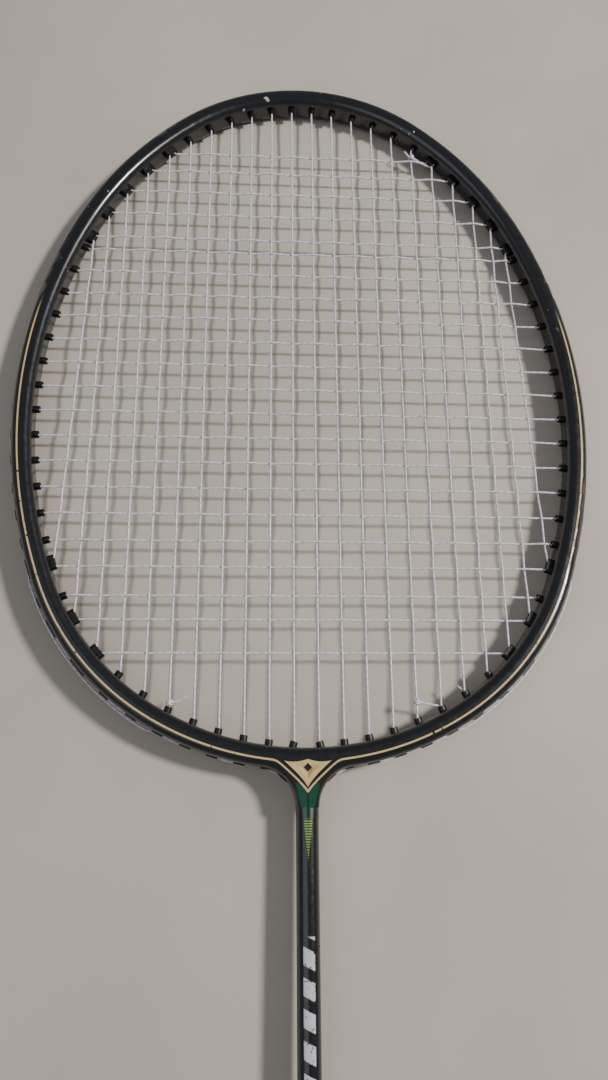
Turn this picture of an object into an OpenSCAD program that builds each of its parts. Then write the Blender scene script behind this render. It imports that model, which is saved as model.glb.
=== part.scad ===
// Badminton racket: hollow graphite hoop with moulded throat, tubular shaft, wooden handle.
// Millimetres. +Y runs from the butt to the crown, +X across the head, +Z square to the strings.
// The strings lie about the plane z = 0 and the flat end of the butt cap is the plane y = 0.

/* [Racket] */
// Overall length from butt to crown
total_len = 665; // [640:1:680]
// Which node to draw

/* [Hoop] */
// Outer radius of the crown arc
crown_r = 75; // [65:0.5:85]
// Direction angle where the crown arc ends
crown_end = 53; // [45:1:65]
// Outer radius of the upper shoulder arc
shoulder_r = 124; // [100:1:140]
// Direction angle where the upper shoulder ends
shoulder_end = 26; // [18:1:34]
// Outer radius of the side arc
side_r = 178; // [150:1:220]
// Direction angle below the cross axis where the side ends
side_end = 21; // [14:1:28]
// Outer radius of the lower shoulder arc
low_r = 88; // [75:1:100]
// Direction angle below the cross axis where the lower shoulder ends
low_end = 59; // [50:1:66]
// Width of the hoop tube in the string plane
hoop_w = 6.8; // [6:0.1:8]
// Depth of the hoop tube square to the strings
hoop_t = 10; // [9:0.1:12]
// Corner radius of the hoop tube
hoop_corner = 2.8; // [1.5:0.1:3.2]
// Wall thickness of the hoop tube
hoop_wall = 1; // [0.8:0.1:1.5]
// Width of the string groove round the outside
groove_w = 3.2; // [2.5:0.1:4]
// Depth of the string groove
groove_d = 0.5; // [0.3:0.1:0.8]

/* [Throat] */
// Radius of the fillets between hoop and neck
fillet_r = 12; // [8:0.5:16]
// Radius of the neck where it meets the shaft
neck_r = 3.6; // [3.5:0.05:4.2]
// Distance from the hoop to the end of the neck
neck_len = 14; // [12:0.5:20]
// Radius of the joint peg inside neck and shaft
peg_r = 2.4; // [2:0.1:2.5]
// Length of the joint peg inside the shaft
peg_in_shaft = 20; // [12:1:40]
// Half length of the peg's cross arm inside the hoop
peg_arm = 12; // [8:1:16]

/* [Shaft] */
// Shaft outer radius
shaft_r = 3.5; // [3.25:0.05:3.75]
// Shaft bore radius
shaft_bore = 2.5; // [2:0.1:2.8]
// Where the shaft ends inside the handle
shaft_start = 62; // [50:1:90]
// Length of the plug in the lower end of the shaft
plug_len = 12; // [6:1:20]

/* [Strings] */
// Number of main strings
mains = 22; // [20:2:24]
// Number of cross strings
crosses = 22; // [20:1:24]
// Pitch of the main strings
main_pitch = 7.85; // [7:0.05:8.5]
// Pitch of the cross strings
cross_pitch = 9.35; // [8.5:0.05:10]
// Distance from the crown to the first cross string
cross_first = 26.9; // [24:0.1:30]
// How far the outermost mains gather inward at the top
gather = 0.55; // [0:0.05:0.8]
// String radius
string_r = 0.35; // [0.33:0.01:0.38]
// Half spacing of the main and cross layers
layer = 0.37; // [0.36:0.01:0.4]

/* [Grommets] */
// Grommet barrel radius
barrel_r = 1.25; // [1.1:0.05:1.4]
// Grommet bore radius
bore_r = 0.85; // [0.8:0.05:1]
// How far a barrel stands inside the hoop
tip_out = 1.8; // [1:0.1:2.5]
// Flange length along the hoop
flange_l = 3.6; // [3:0.1:4.5]
// Flange width across the hoop
flange_w = 3; // [2.4:0.1:3.4]
// Flange thickness
flange_t = 0.9; // [0.6:0.1:1.2]
// How much the holes lean from the hoop normal toward the string
lean = 0.25; // [0:0.05:0.6]
// Distance between the two bores of a shared grommet
twin_gap = 2.8; // [2.6:0.1:3.4]

/* [Handle] */
// Grip width across the strings
grip_x = 27.5; // [24:0.5:30]
// Grip depth square to the strings
grip_z = 24.5; // [22:0.5:28]
// Chamfer of the grip's octagon
grip_c = 7; // [5:0.5:9]
// Grip wrap thickness
wrap_t = 1.5; // [1:0.1:2.5]
// Where the octagonal handle ends
handle_end = 150; // [130:1:170]
// Where the cone cap ends
cone_end = 190; // [175:1:205]
// Radius of the cone cap at its nose
cone_nose_r = 5; // [4.5:0.1:6]
// Length of the trim ring on the cone's nose
ring_len = 4; // [2:0.5:6]
// Width of the finishing tape round the top of the grip
band_w = 14; // [10:1:20]

/* [Butt] */
// Butt cap width across the strings
butt_x = 31; // [28:0.5:34]
// Butt cap depth square to the strings
butt_z = 28; // [26:0.5:31]
// Butt cap length
butt_len = 18; // [14:1:24]
// Radius of the emblem disc
disc_r = 8.5; // [6:0.5:10]

/* [Hidden] */
$fn = 96;
gap = 0.05;                                    // working clearance between fitted pieces
eps = 0.01;
bend_gap = 0.4;                                // each length of string ends this far from a bend
groove_floor = -groove_d + 0.04;               // flange underside, above the curved groove floor
lane = groove_floor + 0.2 + string_r + 0.01;   // string offset from the hoop's outer face
lane_top = lane + 0.9;                         // offset of the run that passes clear outside the loops
tip_d = hoop_w + tip_out;                      // grommet tip, inward from the outer face
half = mains / 2;

// Hoop arcs, from the crown down: radii, end angles and centres of the right-hand half
ang = [90, crown_end, shoulder_end, -side_end, -low_end, -90];
c0 = [0, total_len - crown_r];
c1 = c0 + (crown_r - shoulder_r) * dir2(ang[1]);
c2 = c1 + (shoulder_r - side_r) * dir2(ang[2]);
c3 = c2 + (side_r - low_r) * dir2(ang[3]);
base_r = low_r + c3[0] / cos(low_end);         // closes the outline on the racket's axis
c4 = c3 + (low_r - base_r) * dir2(ang[4]);
rad = [crown_r, shoulder_r, side_r, low_r, base_r];
cen = [c0, c1, c2, c3, c4];
hoop_bottom = c4[1] - base_r;
neck_end = hoop_bottom - neck_len;
fil_x = neck_r + fillet_r;
fil_y = c4[1] - sqrt(pow(base_r + fillet_r - 0.06, 2) - fil_x * fil_x);
groove_start = 6.5;                            // degrees from the axis where the groove begins
top_y = total_len;

// Octagon sizes, from the wood outward
core_x = grip_x - 2 * wrap_t;
core_z = grip_z - 2 * wrap_t;
core_c = grip_c - wrap_t * 0.6;
cap_floor = 3;
wrap_start = butt_len + 0.2;
spigot_r = 9.6;
spigot_end = handle_end + 16;

cone_base_r = 12.2;
cone_lip = 3;
cone_steps = 12;
band_t = 0.25;
channel_w = 1.6;
throat_face = -48;                             // way the throat grommets' flanges face
throat_from = atan2(c4[1] - fil_y, -fil_x);    // where the throat fillet leaves the hoop
tie_main = 6;                                  // main whose lower hole takes the tie-off
tie_r = 1.25;
tie_len = 1.5;
slot_thin = 0.05;                              // web between the two bores, thinner than the bores a side
hole_clear = 0.07;                             // keeps two strands in one hole apart
lap = 0.3;                                     // degrees that the thinner sweeps run into the others
shrink = 0.02;                                 // how much thinner they are
tail_steps = 8;
flare_flat = 4;
flare_mid = 10;
mid_x = grip_x + 0.35 * (butt_x - grip_x);
mid_z = grip_z + 0.35 * (butt_z - grip_z);
disc_deep = 0.6;
disc_t = 0.4;
tack_y = 13;
tack_r = 0.6;
tack_head_r = 1.8;
tack_head_t = 0.5;
tack_deep = 7;
tack_seat = grip_z / 2 - 0.35;
staple_y = 30;
staple_span = 8;
staple_wire = 0.4;
staple_deep = 7;

// Shared holes: mains 7 to 11 with crosses 1 to 5 at the top, 9 to 11 with 22, 21, 19 below
top_share = [7, 8, 9, 10, 11];
low_share = [[9, 22], [10, 21], [11, 19]];

// ---- plane geometry ----
function dir2(a) = [cos(a), sin(a)];
function unit2(v) = v / norm(v);
function arc_of(a) = a >= ang[1] ? 0 : a >= ang[2] ? 1 : a >= ang[3] ? 2 : a >= ang[4] ? 3 : 4;
// point of the right-hand outline where the outward normal points along angle a, offset by d
function rim(a, d) = let (k = arc_of(a)) cen[k] + (rad[k] + d) * dir2(a);
// normal angle where the offset outline passes x, in the upper or lower half
function at_x(x, up, d) = [for (k = [0 : 4]) let (q = (x - cen[k][0]) / (rad[k] + d))
    if (abs(q) <= 1) let (a = (up ? 1 : -1) * acos(q))
    if (a <= ang[k] + 1e-6 && a >= ang[k + 1] - 1e-6) a][0];
// normal angle where the offset outline passes y
function at_y(y, d) = [for (k = [0 : 4]) let (q = (y - cen[k][1]) / (rad[k] + d))
    if (abs(q) <= 1) let (a = asin(q))
    if (a <= ang[k] + 1e-6 && a >= ang[k + 1] - 1e-6) a][0];
function step_angle(a, len) = a + len / (rad[arc_of(a)] - tip_d) * 180 / PI;

// ---- where the strings enter the hoop: mains i count out from the axis, crosses j from the top
function main_x(i) = main_pitch * (i - 0.5);
function main_top_x(i) = main_x(i) - (i > 8 ? gather * pow(i - 8, 2) : 0);
function main_a(i, up) = at_x(up ? main_top_x(i) : main_x(i), up, -tip_d);
function cross_y(j) = total_len - cross_first - cross_pitch * (j - 1);
function low_main(j) = [for (p = low_share) if (p[1] == j) p[0]];
function is_top(j) = j <= len(top_share);
function is_low(j) = len(low_main(j)) > 0;
function cross_a(j) = is_top(j) ? step_angle(main_a(top_share[j - 1], true), twin_gap)
    : is_low(j) ? step_angle(main_a(low_main(j)[0], false), -twin_gap)
    : at_y(cross_y(j), -tip_d);

// hole directions: a lone hole leans toward its string, the two of a shared grommet are parallel
function leaned(a, u) = unit2((1 - lean) * dir2(a) + lean * u);
function main_h(i, up) = up && i >= top_share[0] ? dir2(step_angle(main_a(i, up), twin_gap / 2))
    : !up && i >= low_share[0][0] ? dir2(step_angle(main_a(i, up), -twin_gap / 2))
    : !up && i == 1 ? unit2(fillet_point(0) - tip(main_a(1, false)))
    : leaned(main_a(i, up), [0, up ? 1 : -1]);
function cross_h(j) = is_top(j) ? main_h(top_share[j - 1], true)
    : is_low(j) ? main_h(low_main(j)[0], false)
    : leaned(cross_a(j), [1, 0]);

// points on a hole's axis: the tip inside the hoop, and the outer end at an offset d
function tip(a) = rim(a, -tip_d);
function out_at(a, h, d) = tip(a) + h * (tip_d + d) / (h * dir2(a));
function fillet_point(d) = [fil_x, fil_y] - (fillet_r - d) * dir2(throat_face);
function main_out(i, up, d) = !up && i == 1 ? fillet_point(d) : out_at(main_a(i, up), main_h(i, up), d);
function cross_out(j, d) = out_at(cross_a(j), cross_h(j), d);

// ---- string routes, as points in space ----
function lift(p, s, z) = [s * p[0], p[1], z];
function bend(a, b, s, z) = lift(rim((a + b) / 2, lane), s, z);
// one main on side s, listed from its upper end to its lower end
function main_run(i, s) = [lift(main_out(i, true, lane), s, layer), lift(tip(main_a(i, true)), s, layer),
    lift(tip(main_a(i, false)), s, layer), lift(main_out(i, false, lane), s, layer)];
function turned(list) = [for (k = [len(list) - 1 : -1 : 0]) list[k]];
function main_bend(i, s) = i % 2 == 0 ? [bend(main_a(i, true), main_a(i + 1, true), s, layer)]
    : i == 1 ? [] : [bend(main_a(i, false), main_a(i + 1, false), s, layer)];
// the long outside run from the last main back to the hole it shares, then the knot
function main_tail(s) = let (a = main_a(half, false), b = main_a(tie_main, false)) concat(
    [for (k = [1 : tail_steps - 1]) lift(rim(a + (b - a) * k / tail_steps, lane_top), s, 0)],
    [lift(main_out(tie_main, false, lane), s, -layer - hole_clear),
     lift(tip(b), s, -layer - hole_clear)]);
function half_route(s) = concat(
    [for (i = [1 : half]) for (p = concat(i % 2 == 1 ? main_run(i, s) : turned(main_run(i, s)),
        i < half ? main_bend(i, s) : [])) p], main_tail(s));
function main_route() = concat(turned(half_route(-1)), half_route(1));

// one cross, listed from side s to the other side
function cross_run(j, s) = [lift(cross_out(j, lane), s, -layer), lift(tip(cross_a(j)), s, -layer),
    lift(tip(cross_a(j)), -s, -layer), lift(cross_out(j, lane), -s, -layer)];
function cross_bend(j, s) = [bend(cross_a(j), cross_a(j + 1), s, -layer)];
function cross_route() = concat(
    [lift(tip(main_a(7, true)), 1, -layer), lift(main_out(7, true, lane), 1, -layer)],
    [for (j = [1 : crosses]) let (s = j % 2 == 1 ? 1 : -1)
        for (p = concat(cross_run(j, s), j < crosses ? cross_bend(j, -s) : [])) p],
    [bend(cross_a(crosses), main_a(8, false), 1, -layer),
     bend(main_a(8, false), main_a(7, false), 1, -layer),
     lift(main_out(7, false, lane), 1, -layer), lift(tip(main_a(7, false)), 1, -layer)]);

// ---- shared shapes ----
module rod(a, b, r) {
    v = b - a;
    l = norm(v);
    translate(a)
        rotate([0, acos(v[2] / l), atan2(v[1], v[0])])
            cylinder(h = l, r = r);
}

module flat_rod(a, b, r) {
    rod([a[0], a[1], 0], [b[0], b[1], 0], r);
}

// a cord through a list of points, in straight lengths that stop short of each bend
module cord(points) {
    for (k = [0 : len(points) - 2]) {
        span = norm(points[k + 1] - points[k]);
        u = (points[k + 1] - points[k]) / span;
        if (span > 3 * bend_gap)
            rod(points[k] + u * bend_gap, points[k + 1] - u * bend_gap, string_r);
    }
}

// the turns of a tie-off round a main string at point p
module tie(p) {
    difference() {
        rod([p[0], p[1] - tie_len / 2, layer], [p[0], p[1] + tie_len / 2, layer], tie_r);
        rod([p[0], p[1] - tie_len, layer], [p[0], p[1] + tie_len, layer], string_r + 0.06);
    }
}

module both_sides() {
    children();
    mirror([1, 0, 0])
        children();
}

module rounded(w, h, r) {
    square([w - 2 * r, h], center = true);
    square([w, h - 2 * r], center = true);
    for (x = [-1, 1], y = [-1, 1])
        translate([x * (w / 2 - r), y * (h / 2 - r)])
            circle(r);
}

module octagon(x, z, c) {
    polygon([[x / 2 - c, -z / 2], [x / 2, -z / 2 + c], [x / 2, z / 2 - c], [x / 2 - c, z / 2],
             [-x / 2 + c, z / 2], [-x / 2, z / 2 - c], [-x / 2, -z / 2 + c], [-x / 2 + c, -z / 2]]);
}

module along_y(from, to) {
    translate([0, from, 0])
        rotate([-90, 0, 0])
            linear_extrude(to - from)
                children();
}

module round_y(from, to, r1, r2) {
    translate([0, from, 0])
        rotate([-90, 0, 0])
            cylinder(h = to - from, r1 = r1, r2 = r2);
}

// the section of the hoop's skin, its bore or its groove; x is the offset from the outer face
module section(kind, thin) {
    if (kind == "skin")
        translate([-hoop_w / 2, 0])
            rounded(hoop_w - thin, hoop_t - thin, hoop_corner);
    if (kind == "bore")
        translate([-hoop_w / 2, 0])
            rounded(hoop_w - 2 * hoop_wall - thin, hoop_t - 2 * hoop_wall - thin, hoop_corner - hoop_wall);
    if (kind == "groove")
        translate([-groove_d + thin, -(groove_w - thin) / 2])
            square([groove_d + 1.2, groove_w - thin]);
}

module arc_sweep(center, r, from, to, kind, thin) {
    translate(center)
        rotate([0, 0, from])
            rotate_extrude(angle = to - from)
                translate([r, 0])
                    section(kind, thin);
}

// sweeps a section round the whole hoop; every second arc is a hair thinner and runs into the next
module swept(kind, base_from) {
    arc_sweep(c0, crown_r, ang[1], 180 - ang[1], kind, 0);
    both_sides() {
        arc_sweep(c1, shoulder_r, ang[2] - lap, ang[1] + lap, kind, shrink);
        arc_sweep(c2, side_r, ang[3], ang[2], kind, 0);
        arc_sweep(c3, low_r, ang[4] - lap, ang[3] + lap, kind, shrink);
    }
    if (base_from == 0)
        arc_sweep(c4, base_r, -180 + low_end, -low_end, kind, 0);
    else
        both_sides()
            arc_sweep(c4, base_r, -90 + base_from, -low_end, kind, 0);
}

// ---- grommets ----
// barrels of every hole, with r for the grommet or the hole it fits
module flange(at, angle, len) {
    translate([at[0], at[1], 0])
        rotate([0, 0, angle - 90])
            translate([-len / 2, groove_floor, -flange_w / 2])
                cube([len, flange_t, flange_w]);
}

// clear way for the strings along the flange
module channel(at, angle, len) {
    translate([at[0], at[1], 0])
        rotate([0, 0, angle - 90])
            translate([-len / 2 - 1, groove_floor + 0.2, -channel_w / 2])
                cube([len + 2, flange_t, channel_w]);
}

module grommet(a, h, face, at, d_at) {
    difference() {
        union() {
            flat_rod(tip(a), d_at, barrel_r);
            flange(at, face, flange_l);
        }
        flat_rod(tip(a) - h, at + h, bore_r);
        channel(at, face, flange_l);
    }
}

module main_grommet(i, up) {
    low = groove_floor + 0.1;
    grommet(main_a(i, up), main_h(i, up), !up && i == 1 ? throat_face : main_a(i, up),
            main_out(i, up, 0), main_out(i, up, low));
}

module cross_grommet(j) {
    low = groove_floor + 0.1;
    grommet(cross_a(j), cross_h(j), cross_a(j), cross_out(j, 0), cross_out(j, low));
}

// the pair of holes p, q that share a grommet, both along h
module twin_body(p, q, h, r, len) {
    mid = (tip(p) + tip(q)) / 2;
    flat_rod(tip(p), tip(p) + h * len, r);
    flat_rod(tip(q), tip(q) + h * len, r);
    translate([mid[0], mid[1], 0])
        rotate([0, 0, atan2(h[1], h[0]) - 90])
            translate([-twin_gap / 2, 0.02, slot_thin - r])
                cube([twin_gap, len - 0.04, 2 * (r - slot_thin)]);
}

module twin_grommet(p, q, h) {
    a = (p + q) / 2;
    at = rim(a, 0);
    difference() {
        union() {
            twin_body(p, q, h, barrel_r, tip_d + groove_floor + 0.1);
            flange(at, a, flange_l + twin_gap);
        }
        for (e = [p, q])
            flat_rod(tip(e) - h, tip(e) + h * (tip_d + 1), bore_r);
        channel(at, a, flange_l + twin_gap);
    }
}

module all_holes() {
    for (i = [1 : half], up = [true, false])
        flat_rod(tip(main_a(i, up)), main_out(i, up, 1), barrel_r + gap);
    for (j = [1 : crosses])
        flat_rod(tip(cross_a(j)), cross_out(j, 1), barrel_r + gap);
    for (j = [1 : crosses])
        if (is_top(j) || is_low(j)) {
            up = is_top(j);
            i = up ? top_share[j - 1] : low_main(j)[0];
            twin_body(main_a(i, up), cross_a(j), cross_h(j), barrel_r + gap, tip_d + 1);
        }
}

// ---- head ----
module throat() {
    intersection() {
        both_sides()
            translate([fil_x, fil_y])
                rotate([0, 0, throat_from])
                    rotate_extrude(angle = 180 - throat_from)
                        translate([fillet_r + hoop_w / 2, 0])
                            rounded(hoop_w, hoop_t - 0.08, hoop_corner);
        rotate([90, 0, 90])
            linear_extrude(8 * neck_r, center = true)
                polygon([[hoop_bottom + 6, hoop_t / 2 + 0.2], [fil_y, neck_r + 0.1],
                         [neck_end, neck_r + 0.1], [neck_end, -neck_r - 0.1],
                         [fil_y, -neck_r - 0.1], [hoop_bottom + 6, -hoop_t / 2 - 0.2]]);
        round_y(fil_y - 1, hoop_bottom + 6, neck_r + 0.1, 18);
    }
}

module head_frame() {
    color([0.03, 0.035, 0.06])
        difference() {
            union() {
                swept("skin", 0);
                throat();
                round_y(neck_end, hoop_bottom + 2, neck_r - 0.03, neck_r - 0.03);
            }
            swept("bore", 0);
            swept("groove", groove_start);
            both_sides() {
                all_holes();
                translate([fillet_point(0)[0], fillet_point(0)[1], 0])
                    rotate([0, 0, throat_face - 90])
                        translate([-flange_l / 2 - 0.3, -groove_d, -groove_w / 2])
                            cube([flange_l + 0.6, 3, groove_w]);
            }
            round_y(neck_end - 1, hoop_bottom + hoop_wall + 1, peg_r + gap, peg_r + gap);
        }
}

module throat_peg() {
    arm = peg_arm / base_r * 180 / PI;
    color([0.55, 0.56, 0.58])
        difference() {
            union() {
                round_y(neck_end - peg_in_shaft, hoop_bottom + hoop_wall + 1, peg_r, peg_r);
                translate(c4)
                    rotate([0, 0, -90 - arm])
                        rotate_extrude(angle = 2 * arm)
                            translate([base_r - hoop_w / 2, 0])
                                rounded(hoop_w - 2 * hoop_wall - 2 * gap,
                                        hoop_t - 2 * hoop_wall - 2 * gap, hoop_corner - hoop_wall);
            }
            both_sides()
                for (i = [1, 2])
                    flat_rod(tip(main_a(i, false)), main_out(i, false, 1), barrel_r + 2 * gap);
        }
}

module grommets_crown() {
    color([0.05, 0.05, 0.05])
        both_sides()
            for (i = [1 : top_share[0] - 1])
                main_grommet(i, true);
}

module grommets_throat() {
    color([0.05, 0.05, 0.05])
        both_sides()
            for (i = [1 : low_share[0][0] - 1])
                main_grommet(i, false);
}

module side_grommets() {
    color([0.05, 0.05, 0.05])
        for (j = [1 : crosses])
            if (!is_top(j) && !is_low(j))
                cross_grommet(j);
}

module grommets_right() {
    side_grommets();
}

module grommets_left() {
    mirror([1, 0, 0])
        side_grommets();
}

module grommets_shared() {
    color([0.05, 0.05, 0.05])
        both_sides()
            for (j = [1 : crosses])
                if (is_top(j) || is_low(j)) {
                    up = is_top(j);
                    i = up ? top_share[j - 1] : low_main(j)[0];
                    twin_grommet(main_a(i, up), cross_a(j), cross_h(j));
                }
}

// ---- strings ----
module main_string() {
    right_tip = tip(main_a(tie_main, false));
    near_x = main_x(tie_main - 1);
    knot_y = right_tip[1] + 1.4;
    color([0.9, 0.9, 0.93]) {
        cord(main_route());
        // right end: across to the next main inward and tied there
        cord([lift(right_tip, 1, -layer - hole_clear), [near_x + tie_r, knot_y, layer - 0.1]]);
        tie([near_x, knot_y]);
        // left end: tied to its own main, tail to the right
        tie([-right_tip[0], knot_y]);
        cord([[-right_tip[0] + tie_r, knot_y, layer],
              [-right_tip[0] + 5.4, knot_y + 1.8, layer + 0.6]]);
    }
}

module cross_string() {
    start = tip(main_a(7, true));
    stop = tip(main_a(7, false));
    knot = [main_top_x(6), start[1] + 3.6];
    color([0.9, 0.9, 0.93]) {
        cord(cross_route());
        cord([lift(start, 1, -layer), [knot[0] + tie_r, knot[1], layer - 0.1]]);
        tie(knot);
        cord([[knot[0] - tie_r, knot[1], layer], [knot[0] - 3.2, knot[1] + 2, layer + 0.8]]);
        cord([lift(stop, 1, -layer), [stop[0] - 2, stop[1] + 1.6, -layer]]);
    }
}

// ---- shaft and handle ----
module shaft() {
    color([0.02, 0.02, 0.03])
        difference() {
            round_y(shaft_start, neck_end, shaft_r, shaft_r);
            round_y(shaft_start - 1, neck_end + 1, shaft_bore, shaft_bore);
        }
}

module shaft_plug() {
    color([0.72, 0.6, 0.42])
        round_y(shaft_start, shaft_start + plug_len, shaft_bore - gap, shaft_bore - gap);
}

module handle_core() {
    color([0.74, 0.57, 0.36])
        difference() {
            union() {
                along_y(cap_floor + gap, handle_end)
                    octagon(core_x, core_z, core_c);
                round_y(handle_end - eps, spigot_end, spigot_r, spigot_r - 3.2);
            }
            round_y(shaft_start - 4, spigot_end + 1, shaft_r + gap, shaft_r + gap);
            tack_shanks(gap);
            staple_legs(gap);
        }
}

// the cone's outside radius at a fraction t of its length
function cone_radius(t) = cone_nose_r + (cone_base_r - cone_nose_r) * pow(1 - t, 1.7);

module cone_cap() {
    cone_len = cone_end - handle_end - cone_lip;
    color([0.03, 0.03, 0.035])
        translate([0, handle_end + gap, 0])
            rotate([-90, 0, 0])
                rotate_extrude()
                    polygon(concat(
                        [[spigot_r + gap, 0], [cone_base_r, 0]],
                        [for (k = [0 : cone_steps]) [cone_radius(k / cone_steps),
                            cone_lip + cone_len * k / cone_steps]],
                        [[shaft_r + gap, cone_lip + cone_len],
                         [shaft_r + gap, spigot_end - handle_end + 0.5],
                         [spigot_r - 3.2 + gap, spigot_end - handle_end + 0.5]]));
}

module cone_ring() {
    color([0.72, 0.6, 0.3])
        translate([0, cone_end + 2 * gap, 0])
            rotate([-90, 0, 0])
                rotate_extrude()
                    polygon([[shaft_r + gap, 0], [cone_nose_r - 0.3, 0],
                             [cone_nose_r - 0.3, ring_len - 0.8], [cone_nose_r - 0.9, ring_len],
                             [shaft_r + gap, ring_len]]);
}

module grip_wrap() {
    color([0.09, 0.09, 0.1])
        difference() {
            along_y(wrap_start, handle_end)
                octagon(grip_x, grip_z, grip_c);
            along_y(wrap_start - 1, handle_end + 1)
                octagon(core_x + 2 * gap, core_z + 2 * gap, core_c);
            staple_legs(gap);
        }
}

module grip_band() {
    color([0.16, 0.16, 0.17])
        difference() {
            along_y(handle_end - band_w, handle_end)
                octagon(grip_x + 2 * band_t, grip_z + 2 * band_t, grip_c + 0.1);
            along_y(handle_end - band_w - 1, handle_end + 1)
                octagon(grip_x + 2 * gap, grip_z + 2 * gap, grip_c);
        }
}

module staple_legs(extra) {
    for (y = [-1, 1])
        rod([-grip_x / 2 - 0.3, staple_y + y * staple_span / 2, 0],
            [-grip_x / 2 + staple_deep + (extra > 0 ? 0.5 : 0), staple_y + y * staple_span / 2, 0],
            staple_wire + extra);
}

module grip_staple() {
    color([0.6, 0.6, 0.62])
        union() {
            staple_legs(0);
            translate([-grip_x / 2 - 0.3 - staple_wire, staple_y - staple_span / 2 - staple_wire, -staple_wire])
                cube([2 * staple_wire, staple_span + 2 * staple_wire, 2 * staple_wire]);
        }
}

module butt_cap() {
    color([0.04, 0.04, 0.045])
        difference() {
            union() {
                along_y(0, flare_flat)
                    octagon(butt_x, butt_z, grip_c);
                hull() {
                    along_y(flare_flat - eps, flare_flat)
                        octagon(butt_x, butt_z, grip_c);
                    along_y(flare_mid, flare_mid + eps)
                        octagon(mid_x, mid_z, grip_c);
                }
                hull() {
                    along_y(flare_mid, flare_mid + eps)
                        octagon(mid_x, mid_z, grip_c);
                    along_y(butt_len - eps, butt_len)
                        octagon(grip_x, grip_z, grip_c);
                }
            }
            along_y(cap_floor, butt_len + 1)
                octagon(core_x + 2 * gap, core_z + 2 * gap, core_c);
            round_y(-1, disc_deep, disc_r + gap, disc_r + gap);
            tack_shanks(gap);
            tack_heads(gap);
        }
}

module butt_disc() {
    color([0.78, 0.66, 0.4])
        round_y(disc_deep - disc_t - gap, disc_deep - gap, disc_r, disc_r);
}

module tack_shanks(extra) {
    for (z = [-1, 1])
        rod([0, tack_y, z * (core_z / 2 - tack_deep)], [0, tack_y, z * (grip_z / 2 + 1)], tack_r + extra);
}

module tack_heads(extra) {
    for (z = [-1, 1])
        rod([0, tack_y, z * (tack_seat - extra)], [0, tack_y, z * (tack_seat + (extra > 0 ? 3 : tack_head_t))],
            tack_head_r + extra);
}

module butt_tacks() {
    color([0.62, 0.62, 0.64])
        union() {
            for (z = [-1, 1])
                rod([0, tack_y, z * (core_z / 2 - tack_deep + 0.5)], [0, tack_y, z * (tack_seat + 0.1)], tack_r);
            tack_heads(0);
        }
}

head_frame();
throat_peg();
shaft();
shaft_plug();
grommets_crown();
grommets_throat();
grommets_left();
grommets_right();
grommets_shared();
main_string();
cross_string();
handle_core();
cone_cap();
cone_ring();
grip_wrap();
grip_band();
grip_staple();
butt_cap();
butt_disc();
butt_tacks();
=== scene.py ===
import math
import bpy
from mathutils import Matrix, Vector


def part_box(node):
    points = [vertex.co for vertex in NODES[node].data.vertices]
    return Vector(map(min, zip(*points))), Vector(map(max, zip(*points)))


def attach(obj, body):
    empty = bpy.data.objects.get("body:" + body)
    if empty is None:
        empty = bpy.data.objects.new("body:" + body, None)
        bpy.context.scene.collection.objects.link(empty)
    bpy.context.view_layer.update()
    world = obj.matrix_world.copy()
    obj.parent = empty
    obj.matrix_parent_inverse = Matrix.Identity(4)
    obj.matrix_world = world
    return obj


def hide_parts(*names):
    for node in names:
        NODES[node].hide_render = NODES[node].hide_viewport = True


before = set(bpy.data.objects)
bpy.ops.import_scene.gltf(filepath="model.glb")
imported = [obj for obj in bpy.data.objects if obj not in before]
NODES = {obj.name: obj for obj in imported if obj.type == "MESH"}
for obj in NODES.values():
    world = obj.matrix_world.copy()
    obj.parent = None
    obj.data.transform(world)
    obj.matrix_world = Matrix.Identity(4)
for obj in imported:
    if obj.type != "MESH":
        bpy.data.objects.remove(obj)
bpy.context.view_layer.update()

MM = 0.001

# ---- the racket's dimensions, in millimetres, as in the part ----
TOTAL = 665.0
ANG = [90, 53, 26, -21, -59, -90]
TIP_D = 8.6
HALF = 11
CROSSES = 22
MAIN_PITCH = 7.85
CROSS_PITCH = 9.35
CROSS_FIRST = 26.9
GATHER = 0.55
STRING_R = 0.35
LAYER = 0.37
LEAN = 0.25
TWIN_GAP = 2.8
FILLET_R = 12.0
NECK_R = 3.6
LANE = 0.10
LANE_TOP = LANE + 0.9
HOLE_CLEAR = 0.07
THROAT_FACE = -48
TOP_SHARE = [7, 8, 9, 10, 11]
LOW_SHARE = {22: 9, 21: 10, 19: 11}
TIE_MAIN = 6
KNOT_R = 0.74
KNOT_PITCH = 0.68
KNOT_TURNS = 2.3
KNOT_STEPS = 14
WEAVE_STEPS = 6
HOOP_LOW = 0.28       # hoop bottom above the zero that the paint is measured from


def d2(a):
    return Vector((math.cos(math.radians(a)), math.sin(math.radians(a))))


RAD = [75.0, 124.0, 178.0, 88.0]
CEN = [Vector((0, TOTAL - RAD[0]))]
for k in range(1, 4):
    CEN.append(CEN[-1] + (RAD[k - 1] - RAD[k]) * d2(ANG[k]))
RAD.append(RAD[3] + CEN[3].x / math.cos(math.radians(-ANG[4])))
CEN.append(CEN[3] + (RAD[3] - RAD[4]) * d2(ANG[4]))
HOOP_BOTTOM = CEN[4].y - RAD[4]
FIL_X = NECK_R + FILLET_R
FIL_Y = CEN[4].y - math.sqrt((RAD[4] + FILLET_R - 0.06) ** 2 - FIL_X ** 2)


def arc_of(a):
    return next((k for k in range(4) if a >= ANG[k + 1]), 4)


def rim(a, d):
    k = arc_of(a)
    return CEN[k] + (RAD[k] + d) * d2(a)


def at_x(x, up, d):
    for k in range(5):
        q = (x - CEN[k].x) / (RAD[k] + d)
        if abs(q) <= 1:
            a = (1 if up else -1) * math.degrees(math.acos(q))
            if ANG[k + 1] - 1e-6 <= a <= ANG[k] + 1e-6:
                return a


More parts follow.
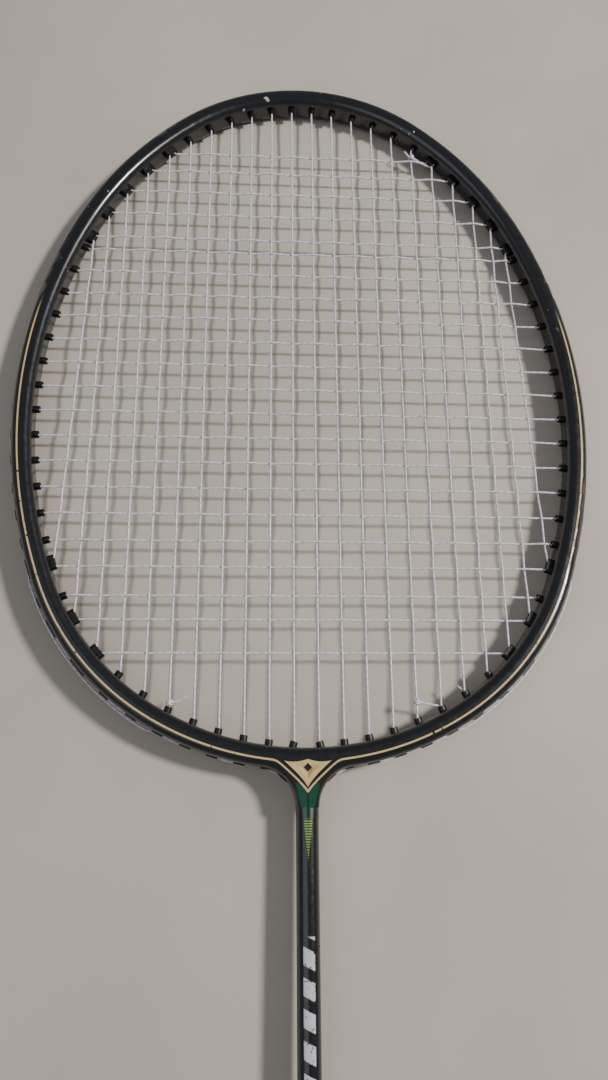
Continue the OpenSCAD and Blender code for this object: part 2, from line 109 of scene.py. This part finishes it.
def at_y(y, d):
    for k in range(5):
        q = (y - CEN[k].y) / (RAD[k] + d)
        if abs(q) <= 1:
            a = math.degrees(math.asin(q))
            if ANG[k + 1] - 1e-6 <= a <= ANG[k] + 1e-6:
                return a


def step_angle(a, length):
    return a + math.degrees(length / (RAD[arc_of(a)] - TIP_D))


def main_x(i):
    return MAIN_PITCH * (i - 0.5)


def main_a(i, up):
    x = main_x(i) - (GATHER * (i - 8) ** 2 if up and i > 8 else 0)
    return at_x(x, up, -TIP_D)


def cross_a(j):
    if j <= 5:
        return step_angle(main_a(TOP_SHARE[j - 1], True), TWIN_GAP)
    if j in LOW_SHARE:
        return step_angle(main_a(LOW_SHARE[j], False), -TWIN_GAP)
    return at_y(TOTAL - CROSS_FIRST - CROSS_PITCH * (j - 1), -TIP_D)


def leaned(a, u):
    return ((1 - LEAN) * d2(a) + LEAN * Vector(u)).normalized()


def tip(a):
    return rim(a, -TIP_D)


def fillet_point(d):
    return Vector((FIL_X, FIL_Y)) - (FILLET_R - d) * d2(THROAT_FACE)


def main_h(i, up):
    if up and i >= 7:
        return d2(step_angle(main_a(i, up), TWIN_GAP / 2))
    if not up and i >= 9:
        return d2(step_angle(main_a(i, up), -TWIN_GAP / 2))
    if not up and i == 1:
        return (fillet_point(0) - tip(main_a(1, False))).normalized()
    return leaned(main_a(i, up), (0, 1 if up else -1))


def cross_h(j):
    if j <= 5:
        return main_h(TOP_SHARE[j - 1], True)
    if j in LOW_SHARE:
        return main_h(LOW_SHARE[j], False)
    return leaned(cross_a(j), (1, 0))


def out_at(a, h, d):
    return tip(a) + h * (TIP_D + d) / h.dot(d2(a))


def main_out(i, up):
    if not up and i == 1:
        return fillet_point(LANE)
    return out_at(main_a(i, up), main_h(i, up), LANE)


def lift(p, s, z):
    return Vector((s * p.x, p.y, z))


# ---- woven strings ----
def meet(a, b, c, d):
    """How far along a-b the line c-d crosses it, or None."""
    r, s = b - a, d - c
    den = r.x * s.y - r.y * s.x
    if abs(den) < 1e-9:
        return None
    t = ((c - a).x * s.y - (c - a).y * s.x) / den
    u = ((c - a).x * r.y - (c - a).y * r.x) / den
    return t if 0 < t < 1 and 0 < u < 1 else None


def flat(p, s=1):
    return Vector((s * p.x, p.y))


MAIN_LINES = {(i, s): (flat(tip(main_a(i, True)), s), flat(tip(main_a(i, False)), s))
              for i in range(1, HALF + 1) for s in (-1, 1)}
CROSS_LINES = {j: (flat(tip(cross_a(j)), -1), flat(tip(cross_a(j)))) for j in range(1, CROSSES + 1)}


def column(i, s):
    return s * i - (1 if s > 0 else 0)


def woven(a, b, others, end_z):
    """Points from a to b, over and under each crossing string; others is a list of (line, side)."""
    marks = [(0.0, end_z)]
    hits = [(meet(a, b, *line), side) for line, side in others]
    marks += sorted((t, side * LAYER) for t, side in hits if t is not None)
    marks.append((1.0, end_z))
    out = []
    for (t0, z0), (t1, z1) in zip(marks, marks[1:]):
        for n in range(WEAVE_STEPS):
            w = n / WEAVE_STEPS
            ease = 0.5 - 0.5 * math.cos(math.pi * w)
            p = a.lerp(b, t0 + (t1 - t0) * w)
            out.append(Vector((p.x, p.y, z0 + (z1 - z0) * ease)))
    out.append(Vector((b.x, b.y, end_z)))
    return out


def main_run(i, s):
    a, b = MAIN_LINES[(i, s)]
    others = [(CROSS_LINES[j], 1 if (column(i, s) + j) % 2 else -1) for j in CROSS_LINES]
    return ([lift(main_out(i, True), s, LAYER)] + woven(a, b, others, LAYER)
            + [lift(main_out(i, False), s, LAYER)])


def arc_run(a, b, s, z, d, count=6):
    return [lift(rim(a + (b - a) * n / count, d), s, z) for n in range(1, count)]


def half_route(s):
    out = []
    for i in range(1, HALF + 1):
        run = main_run(i, s)
        out += run if i % 2 else run[::-1]
        if 1 < i < HALF:
            up = i % 2 == 0
            out += arc_run(main_a(i, up), main_a(i + 1, up), s, LAYER, LANE)
    a, b = main_a(HALF, False), main_a(TIE_MAIN, False)
    out += arc_run(a, b, s, 0, LANE_TOP, 24)
    out += [lift(main_out(TIE_MAIN, False), s, -LAYER - HOLE_CLEAR), lift(tip(b), s, -LAYER - HOLE_CLEAR)]
    return out


def cross_route():
    start = main_a(7, True)
    out = [lift(tip(start), 1, -LAYER), lift(main_out(7, True), 1, -LAYER)]
    for j in range(1, CROSSES + 1):
        s = 1 if j % 2 else -1
        a, b = CROSS_LINES[j]
        if s > 0:
            a, b = b, a
        others = [(MAIN_LINES[key], -1 if (column(*key) + j) % 2 else 1) for key in MAIN_LINES]
        end = out_at(cross_a(j), cross_h(j), LANE)
        out += [lift(end, s, -LAYER)] + woven(a, b, others, -LAYER) + [lift(end, -s, -LAYER)]
        if j < CROSSES:
            out += arc_run(cross_a(j), cross_a(j + 1), -s, -LAYER, LANE, 4)
    out += arc_run(cross_a(CROSSES), main_a(7, False), 1, -LAYER, LANE, 10)
    return out + [lift(main_out(7, False), 1, -LAYER), lift(tip(main_a(7, False)), 1, -LAYER)]


def knot(x, y):
    out = []
    for n in range(int(KNOT_TURNS * KNOT_STEPS) + 1):
        t = n / KNOT_STEPS
        a = 2 * math.pi * t
        out.append(Vector((x + KNOT_R * math.cos(a), y + KNOT_PITCH * (t - KNOT_TURNS / 2),
                           LAYER + KNOT_R * math.sin(a))))
    return out


def smooth_path(points):
    """A rounded path through a few points."""
    out = []
    for k in range(len(points) - 1):
        p0, p1 = points[max(k - 1, 0)], points[k]
        p2, p3 = points[k + 1], points[min(k + 2, len(points) - 1)]
        for n in range(8):
            t = n / 8
            out.append(0.5 * (2 * p1 + (p2 - p0) * t + (2 * p0 - 5 * p1 + 4 * p2 - p3) * t * t
                              + (3 * p1 - p0 - 3 * p2 + p3) * t ** 3))
    return out + [points[-1]]


def tube(paths, name, radius, sides=8):
    """Round cords through lists of points, with UVs in millimetres along and turns around."""
    verts, faces, uvs = [], [], []
    for path in paths:
        pts = [p for k, p in enumerate(path) if k == 0 or (p - path[k - 1]).length > 0.02]
        side = None
        base = len(verts)
        along = [0.0]
        for k, p in enumerate(pts):
            ahead = (pts[min(k + 1, len(pts) - 1)] - pts[max(k - 1, 0)]).normalized()
            if side is None:
                side = ahead.orthogonal().normalized()
            side = (side - ahead * side.dot(ahead)).normalized()
            other = ahead.cross(side)
            if k:
                along.append(along[-1] + (p - pts[k - 1]).length)
            for n in range(sides):
                a = 2 * math.pi * n / sides
                verts.append((p + radius * (math.cos(a) * side + math.sin(a) * other)) * MM)
        for k in range(len(pts) - 1):
            for n in range(sides):
                m = (n + 1) % sides
                lo, hi = base + k * sides, base + (k + 1) * sides
                faces.append((lo + n, lo + m, hi + m, hi + n))
                u0, u1 = n / sides, (n + 1) / sides
                uvs += [(u0, along[k]), (u1, along[k]), (u1, along[k + 1]), (u0, along[k + 1])]
        last = base + (len(pts) - 1) * sides
        faces.append(tuple(base + n for n in reversed(range(sides))))
        faces.append(tuple(last + n for n in range(sides)))
        uvs += [(0, 0)] * (2 * sides)
    return solid(name, verts, faces, uvs)


def solid(name, verts, faces, uvs=None):
    mesh = bpy.data.meshes.new(name)
    mesh.from_pydata([tuple(v) for v in verts], [], faces)
    if uvs:
        layer = mesh.uv_layers.new(name="UVMap")
        for k, uv in enumerate(uvs):
            layer.data[k].uv = uv
    mesh.polygons.foreach_set("use_smooth", [True] * len(mesh.polygons))
    obj = bpy.data.objects.new(name, mesh)
    bpy.context.scene.collection.objects.link(obj)
    return obj


# ---- node materials ----
class Mat:
    def __init__(self, name, rough=0.5, metallic=0.0, coat=0.0, spec=0.5):
        self.mat = bpy.data.materials.new(name)
        self.mat.use_nodes = True
        self.t = self.mat.node_tree
        self.bsdf = self.t.nodes["Principled BSDF"]
        self.bsdf.inputs["Metallic"].default_value = metallic
        self.bsdf.inputs["Coat Weight"].default_value = coat
        self.bsdf.inputs["Coat Roughness"].default_value = 0.12
        self.bsdf.inputs["Specular IOR Level"].default_value = spec
        self.bsdf.inputs["Roughness"].default_value = rough
        coord = self.t.nodes.new("ShaderNodeTexCoord")
        self.p = self.vec("SCALE", coord.outputs["Object"], scale=1000)
        split = self.t.nodes.new("ShaderNodeSeparateXYZ")
        self.t.links.new(self.p, split.inputs[0])
        self.x, self.y, self.z = split.outputs

    def put(self, socket, value):
        if hasattr(value, "links"):
            self.t.links.new(value, socket)
        else:
            socket.default_value = value

    def vec(self, op, a, b=None, scale=None):
        n = self.t.nodes.new("ShaderNodeVectorMath")
        n.operation = op
        self.put(n.inputs[0], a)
        if b is not None:
            self.put(n.inputs[1], b)
        if scale is not None:
            n.inputs["Scale"].default_value = scale
        return n.outputs[0]

    def m(self, op, a, b=0.0, c=0.0):
        n = self.t.nodes.new("ShaderNodeMath")
        n.operation = op
        for socket, value in zip(n.inputs, (a, b, c)):
            self.put(socket, value)
        return n.outputs[0]

    def step(self, v, lo, hi):
        n = self.t.nodes.new("ShaderNodeMapRange")
        n.interpolation_type = "SMOOTHSTEP"
        self.put(n.inputs[0], v)
        for k, value in ((1, lo), (2, hi), (3, 0.0), (4, 1.0)):
            self.put(n.inputs[k], value)
        return n.outputs[0]

    def both(self, *v):
        out = v[0]
        for one in v[1:]:
            out = self.m("MULTIPLY", out, one)
        return out

    def band(self, v, mid, half, soft=0.06):
        return self.m("SUBTRACT", 1.0, self.step(self.m("ABSOLUTE", self.m("SUBTRACT", v, mid)),
                                                 half - soft, half + soft))

    def noise(self, scale, detail=3.0, stretch=None):
        n = self.t.nodes.new("ShaderNodeTexNoise")
        v = self.p if stretch is None else self.vec("MULTIPLY", self.p, stretch)
        self.t.links.new(v, n.inputs["Vector"])
        n.inputs["Scale"].default_value = scale
        n.inputs["Detail"].default_value = detail
        return n.outputs[0]

    def mix(self, fac, a, b):
        n = self.t.nodes.new("ShaderNodeMix")
        n.data_type = "RGBA"
        self.put(n.inputs[0], fac)
        self.put(n.inputs[6], a)
        self.put(n.inputs[7], b)
        return n.outputs[2]

    def finish(self, colour, rough=None, bump=None, strength=0.2, distance=0.1):
        self.t.links.new(colour, self.bsdf.inputs["Base Color"])
        if rough is not None:
            self.t.links.new(rough, self.bsdf.inputs["Roughness"])
        if bump is not None:
            n = self.t.nodes.new("ShaderNodeBump")
            n.inputs["Strength"].default_value = strength
            n.inputs["Distance"].default_value = distance * MM
            self.t.links.new(bump, n.inputs["Height"])
            self.t.links.new(n.outputs[0], self.bsdf.inputs["Normal"])
        return self.mat

    def rough_by(self, noise, lo, hi):
        return self.m("MULTIPLY_ADD", noise, hi - lo, lo)


def rgb(text):
    """Linear colour of a hex sRGB one."""
    v = [int(text[k:k + 2], 16) / 255 for k in (0, 2, 4)]
    return tuple(c / 12.92 if c <= 0.04045 else ((c + 0.055) / 1.055) ** 2.4 for c in v) + (1.0,)


def v_line(m, ax, r):
    """Half width of the painted V round the shield's point, at height r."""
    rise = m.m("MAXIMUM", m.m("DIVIDE", m.m("ADD", r, 6.0), 8.4), 0.0)
    return m.m("MULTIPLY", m.m("POWER", rise, 1.17), 8.5)


def painted(m, base):
    """Green fade, stripes and plain bars on the upper face of throat and shaft."""
    ax = m.m("ABSOLUTE", m.x)
    r = m.m("SUBTRACT", m.y, HOOP_BOTTOM - HOOP_LOW)
    top = m.step(m.z, 0.6, 1.4)
    # green fade and lime stripes, narrowing toward the handle
    green_w = m.m("MULTIPLY_ADD", r, 0.25, 5.1)
    green = m.both(m.step(m.m("SUBTRACT", green_w, ax), 0, 0.9), m.step(m.m("MULTIPLY_ADD", ax, -1.2, r), -16.2, -14.4),
                   m.m("SUBTRACT", 1.0, m.step(r, -3.8, -3.2)), m.step(m.m("SUBTRACT", ax, v_line(m, ax, r)), 0.1, 0.4), top)
    col = m.mix(green, base, rgb("00452E"))
    line_w = m.m("MULTIPLY_ADD", r, 0.118, 3.12)
    saw = m.m("FRACT", m.m("DIVIDE", r, 0.74))
    lime = m.both(m.step(m.m("SUBTRACT", line_w, ax), 0, 0.2), m.band(saw, 0.5, 0.28, 0.08),
                  m.m("SUBTRACT", 1.0, m.step(r, -15.0, -13.2)), top)
    col = m.mix(lime, col, rgb("7BA23F"))
    # plain slanted bars farther down the shaft
    slant = m.m("FRACT", m.m("DIVIDE", m.m("MULTIPLY_ADD", m.x, 0.5, r), 8.0))
    worn = m.step(m.noise(0.9), 0.34, 0.42)
    bars = m.both(m.band(slant, 0.5, 0.3, 0.02), m.band(m.x, 0.0, 1.7), worn,
                  m.m("SUBTRACT", 1.0, m.step(r, -46.4, -46.0)), m.step(r, -112.0, -111.6), top)
    return m.mix(bars, col, rgb("C9CCD2"))


def hoop_offset(m):
    """Distance outward from the hoop's outer outline, in millimetres."""
    ax = m.m("ABSOLUTE", m.x)
    total = None
    for k in range(5):
        dx = m.m("SUBTRACT", ax, CEN[k].x)
        dy = m.m("SUBTRACT", m.y, CEN[k].y)
        off = m.m("SUBTRACT", m.m("SQRT", m.m("ADD", m.m("MULTIPLY", dx, dx), m.m("MULTIPLY", dy, dy))), RAD[k])
        a = m.m("ARCTAN2", dy, dx)
        hi = math.radians(ANG[k] + (1 if k == 0 else 0))
        lo = math.radians(ANG[k + 1] - (1 if k == 4 else 0))
        inside = m.both(m.m("LESS_THAN", a, hi), m.m("GREATER_THAN", a, lo))
        part = m.m("MULTIPLY", off, inside)
        total = part if total is None else m.m("ADD", total, part)
    return total


def frame_paint():
    m = Mat("frame_paint", 0.2, coat=0.6)
    cloud = m.noise(0.05)
    fine = m.noise(1.4, 6)
    base = m.mix(cloud, rgb("040508"), rgb("0A0B12"))
    base = painted(m, base)
    off = hoop_offset(m)
    ax = m.m("ABSOLUTE", m.x)
    r = m.m("SUBTRACT", m.y, HOOP_BOTTOM - HOOP_LOW)
    gold = m.mix(fine, rgb("C9A66C"), rgb("E6CB98"))
    # shield and the line round its point
    drop = m.m("MAXIMUM", m.m("DIVIDE", m.m("ADD", r, 4.9), 8.8), 0.0)
    width = m.m("MULTIPLY", m.m("POWER", drop, 1.3), 8.3)
    edge = m.m("SUBTRACT", width, ax)
    lid = m.m("MULTIPLY_ADD", ax, m.m("MULTIPLY_ADD", ax, 0.041, -0.36), 3.65)
    shield = m.both(m.step(edge, 0.0, 0.15), m.m("SUBTRACT", 1.0, m.step(m.m("SUBTRACT", r, lid), -0.15, 0.0)),
                    m.step(r, -4.9, -4.7), m.m("LESS_THAN", ax, 9.5), m.step(m.z, 1.8, 2.4))
    # one gold line: along the hoop and smoothly down into the V, fading on the upper sides
    along_hoop = m.m("MULTIPLY", m.m("ADD", off, 2.6), -1.0)
    along_v = m.m("MULTIPLY", m.m("SUBTRACT", v_line(m, ax, r), ax), 0.72)
    low = m.m("SUBTRACT", 1.0, m.step(r, 8.0, 12.0))
    below = m.m("MAXIMUM", m.m("SUBTRACT", -6.0, r), 0.0)
    along_v = m.m("MULTIPLY", low, m.m("SUBTRACT", along_v, below))
    along_v = m.m("MULTIPLY_ADD", m.m("SUBTRACT", low, 1.0), 50.0, along_v)
    run = m.m("SMOOTH_MAX", along_hoop, along_v, 1.6)
    line = m.both(m.band(run, 0.0, 0.28, 0.08), m.m("SUBTRACT", 1.0, m.step(r, 150.0, 165.0)),
                  m.step(m.noise(0.6, 2), 0.3, 0.36), m.step(m.z, 1.6, 2.2))
    # a plain diamond in the shield
    dia = m.m("ADD", ax, m.m("ABSOLUTE", m.m("SUBTRACT", r, 1.1)))
    mark = m.both(shield, m.m("SUBTRACT", 1.0, m.step(dia, 1.25, 1.45)))
    col = m.mix(m.m("MAXIMUM", line, shield), base, gold)
    col = m.mix(mark, col, rgb("101010"))
    # chips on the upper edge, more of them toward the crown
    chip = m.both(m.step(m.noise(0.32, 5), 0.705, 0.72), m.step(m.z, 2.0, 3.0), m.step(r, 120.0, 240.0))
    col = m.mix(chip, col, rgb("B9B6AD"))
    dust = m.both(m.step(m.noise(2.2, 8), 0.6, 0.8), m.step(m.noise(0.04), 0.45, 0.65))
    col = m.mix(m.m("MULTIPLY", dust, 0.16), col, rgb("6B665C"))
    return m.finish(col, m.rough_by(m.noise(0.5, 5), 0.16, 0.42), fine, 0.08, 0.05)


def shaft_paint():
    m = Mat("shaft_paint", 0.2, coat=0.6)
    col = painted(m, m.mix(m.noise(0.06), rgb("030405"), rgb("090A10")))
    scratch = m.both(m.step(m.noise(1.0, 6, (3.0, 0.3, 3.0)), 0.7, 0.74), 0.5)
    col = m.mix(scratch, col, rgb("77777A"))
    return m.finish(col, m.rough_by(m.noise(0.7, 4), 0.14, 0.36), m.noise(1.5, 5), 0.06, 0.05)


def plain(name, dark, light, rough, scale=0.5, metallic=0.0, coat=0.0, bump=0.2, wear=None, stretch=None):
    m = Mat(name, rough, metallic, coat)
    n = m.noise(scale, 5, stretch)
    col = m.mix(m.step(n, 0.3, 0.7), rgb(dark), rgb(light))
    if wear:
        col = m.mix(m.m("MULTIPLY", m.step(m.noise(scale * 2.3, 7), 0.6, 0.72), 0.6), col, rgb(wear))
    return m.finish(col, m.rough_by(m.noise(scale * 3, 4), rough * 0.75, min(1, rough * 1.3)), n, bump, 0.12)


def string_look(name):
    m = Mat(name, 0.32, coat=0.2)
    uv = m.t.nodes.new("ShaderNodeUVMap")
    uv.uv_map = "UVMap"
    split = m.t.nodes.new("ShaderNodeSeparateXYZ")
    m.t.links.new(uv.outputs[0], split.inputs[0])
    around, along = split.outputs[0], split.outputs[1]
    spiral = m.m("FRACT", m.m("ADD", around, m.m("DIVIDE", along, 2.6)))
    tracer = m.band(spiral, 0.5, 0.13, 0.04)
    col = m.mix(m.noise(0.3), rgb("CFCED6"), rgb("EDEDF2"))
    col = m.mix(m.m("MULTIPLY", tracer, 0.38), col, rgb("6F6CA8"))
    dirt = m.both(m.step(m.noise(0.06, 4), 0.56, 0.7), m.step(m.noise(0.9, 5), 0.5, 0.7))
    col = m.mix(m.m("MULTIPLY", dirt, 0.6), col, rgb("6E5A45"))
    return m.finish(col, m.rough_by(m.noise(1.0), 0.25, 0.5), spiral, 0.15, 0.04)


def wrap_look():
    m = Mat("grip_leather", 0.7)
    dots = m.t.nodes.new("ShaderNodeTexVoronoi")
    dots.inputs["Scale"].default_value = 0.42
    dots.inputs["Randomness"].default_value = 0.25
    m.t.links.new(m.p, dots.inputs["Vector"])
    hole = m.m("SUBTRACT", 1.0, m.step(dots.outputs["Distance"], 0.12, 0.2))
    grain = m.noise(1.6, 8)
    col = m.mix(m.noise(0.07), rgb("1D1B1A"), rgb("34302D"))
    col = m.mix(m.m("MULTIPLY", hole, 0.8), col, rgb("080808"))
    height = m.m("SUBTRACT", m.m("MULTIPLY", grain, 0.4), hole)
    return m.finish(col, m.rough_by(grain, 0.5, 0.85), height, 0.5, 0.25)


# ---- grip wrap: a spiral strip over the octagonal handle ----
def grip():
    lo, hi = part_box("grip_wrap")
    lo, hi = lo / MM, hi / MM
    half_x, half_z = (hi.x - lo.x) / 2 - 0.02, (hi.z - lo.z) / 2 - 0.02
    chamfer = 7.0
    rows, around = 360, 128
    pitch, step = 21.0, 0.35
    verts, faces = [], []

    def radius(a, shrink):
        c, s = abs(math.cos(a)), abs(math.sin(a))
        x, z = half_x - shrink, half_z - shrink
        walls = (c / x, s / z, (c + s) / (x + z - chamfer))
        return 1 / sum(w ** 14 for w in walls) ** (1 / 14)

    for k in range(rows + 1):
        y = lo.y + (hi.y - lo.y) * k / rows
        for n in range(around):
            a = 2 * math.pi * n / around
            turn = (y / pitch - n / around) % 1
            lap = step * (1 - min(turn / 0.9, 1)) if turn < 0.9 else step * (turn - 0.9) / 0.1
            r = radius(a, step - lap)
            verts.append(Vector((r * math.cos(a), y, r * math.sin(a))) * MM)
    for k in range(rows):
        for n in range(around):
            m = (n + 1) % around
            faces.append((k * around + n, (k + 1) * around + n, (k + 1) * around + m, k * around + m))
    faces.append(tuple(range(around)))
    faces.append(tuple(rows * around + n for n in reversed(range(around))))
    return solid("grip_spiral", verts, faces)


# ---- camera and light ----
def camera():
    right = Vector((0.998, -0.008, 0.061)).normalized()
    ahead = Vector((0.060, 0.284, -0.957)).normalized()
    right = (right - ahead * right.dot(ahead)).normalized()
    up = right.cross(ahead)
    data = bpy.data.cameras.new("camera")
    data.lens = 27.03
    data.sensor_width = 36
    data.clip_start = 0.01
    obj = bpy.data.objects.new("camera", data)
    turn = Matrix((right, up, -ahead)).transposed().to_4x4()
    obj.matrix_world = Matrix.Translation(Vector((-0.0167, 0.40235, 0.2609))) @ turn
    bpy.context.scene.collection.objects.link(obj)
    bpy.context.scene.camera = obj


def area(name, place, aim, size, power, colour=(1, 1, 1), gloss=1.0):
    data = bpy.data.lights.new(name, "AREA")
    data.shape = "DISK"
    data.size = size
    data.energy = power
    data.color = colour
    data.specular_factor = gloss
    obj = bpy.data.objects.new(name, data)
    obj.location = place
    obj.rotation_euler = (Vector(aim) - Vector(place)).to_track_quat("-Z", "Y").to_euler()
    bpy.context.scene.collection.objects.link(obj)


camera()
area("key", (1.1, 0.7, 1.2), (0, 0.5, 0), 0.22, 27, (1.0, 0.97, 0.93))
area("fill", (-0.8, 0.2, 1.4), (0, 0.45, 0), 1.4, 4, (0.93, 0.96, 1.0), 0.15)
world = bpy.data.worlds.new("world")
world.use_nodes = True
world.node_tree.nodes["Background"].inputs[0].default_value = (0.9, 0.92, 1.0, 1)
world.node_tree.nodes["Background"].inputs[1].default_value = 0.25
bpy.context.scene.world = world

# ---- floor, touching the butt cap and the crown ----
butt_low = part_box("butt_cap")[0].z
crown_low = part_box("head_frame")[0].z
slope = (crown_low - butt_low) / (TOTAL * MM)
span = 3.0
corners = [(x, y, butt_low + slope * y - 0.0001) for x, y in
           ((-span, -span), (span, -span), (span, span), (-span, span))]
floor = solid("floor", corners, [(0, 1, 2, 3)])
floor_mat = plain("pale_floor", "B9B0A4", "C3BAAE", 0.6, 0.01, bump=0.02)
floor.data.materials.append(floor_mat)

# ---- strings ----
tie_tip = tip(main_a(TIE_MAIN, False))
near_x = main_x(TIE_MAIN - 1)
knot_y = tie_tip.y + 1.4
mains = half_route(-1)[::-1] + half_route(1)
right_tie = smooth_path([lift(tie_tip, 1, -LAYER - HOLE_CLEAR), Vector((near_x + 3, knot_y - 0.6, 0)),
                         Vector((near_x + 0.7, knot_y, LAYER))])
left_tail = smooth_path([Vector((-tie_tip.x + 0.8, knot_y, LAYER)), Vector((-tie_tip.x + 2.6, knot_y + 0.3, LAYER)),
                         Vector((-tie_tip.x + 5.4, knot_y + 1.8, LAYER + 0.6))])
main_cord = tube([mains, right_tie, left_tail, knot(near_x, knot_y), knot(-tie_tip.x, knot_y)],
                 "main_cord", STRING_R)
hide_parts("main_string")

top_tip = tip(main_a(7, True))
low_tip = tip(main_a(7, False))
tie_x, tie_y = main_x(6), top_tip.y + 3.6
top_tie = smooth_path([lift(top_tip, 1, -LAYER), Vector(((top_tip.x + tie_x) / 2, top_tip.y + 1.6, -0.1)),
                       Vector((tie_x + 0.7, tie_y, LAYER))])
top_tail = smooth_path([Vector((tie_x - 0.7, tie_y, LAYER)), Vector((tie_x - 1.7, tie_y + 0.8, LAYER + 0.6)),
                        Vector((tie_x - 2.8, tie_y + 2.2, LAYER + 0.8))])
stub = [lift(low_tip, 1, -LAYER), Vector((low_tip.x - 2, low_tip.y + 1.6, -LAYER))]
cross_cord = tube([cross_route(), top_tie, top_tail, stub, knot(tie_x, tie_y)], "cross_cord", STRING_R)
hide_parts("cross_string")

grip_piece = grip()
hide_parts("grip_wrap")

for piece, slot, look in ((main_cord, "string_white", string_look("main_nylon")),
                          (cross_cord, "string_white", string_look("cross_nylon")),
                          (grip_piece, "grip_dark", wrap_look())):
    piece.data.materials.append(look)
    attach(piece, "root")

# ---- finishes of the CAD nodes ----
grommet = plain("grommet_nylon", "050505", "0E0E0F", 0.42, 0.8, wear="2B2926")
steel = plain("steel", "8B8D90", "C3C5C8", 0.3, 0.9, metallic=1.0, wear="5A4636")
LOOKS = {
    "head_frame": frame_paint(),
    "shaft": shaft_paint(),
    "throat_peg": plain("alloy", "8E9196", "B5B8BC", 0.38, 0.6, metallic=1.0),
    "shaft_plug": plain("foam", "B59A6C", "D3BC92", 0.9, 1.2, bump=0.6),
    "grommets_crown": grommet,
    "grommets_throat": grommet,
    "grommets_left": grommet,
    "grommets_right": grommet,
    "grommets_shared": grommet,
    "handle_core": plain("wood", "9A7447", "C69D69", 0.6, 0.25, stretch=(4.0, 0.3, 4.0)),
    "cone_cap": plain("cone_plastic", "0D0D0F", "1A1A1D", 0.3, 0.35, coat=0.3, wear="3E3C3A"),
    "cone_ring": plain("gold_ring", "A5854A", "CFAE6E", 0.28, 0.8, metallic=1.0, wear="5C4A2C"),
    "grip_band": plain("tape", "141414", "232323", 0.5, 0.9, bump=0.3, wear="3D3A37"),
    "grip_staple": steel,
    "butt_cap": plain("cap_rubber", "101011", "202022", 0.55, 0.6, bump=0.3, wear="45413D"),
    "butt_disc": plain("disc_gold", "AE9256", "CFB479", 0.35, 0.7, metallic=0.7),
    "butt_tacks": steel,
}
for node, look in LOOKS.items():
    obj = NODES[node]
    if not obj.material_slots:
        obj.data.materials.append(look)
    for one in obj.material_slots:
        one.material = look

bpy.context.view_layer.update()
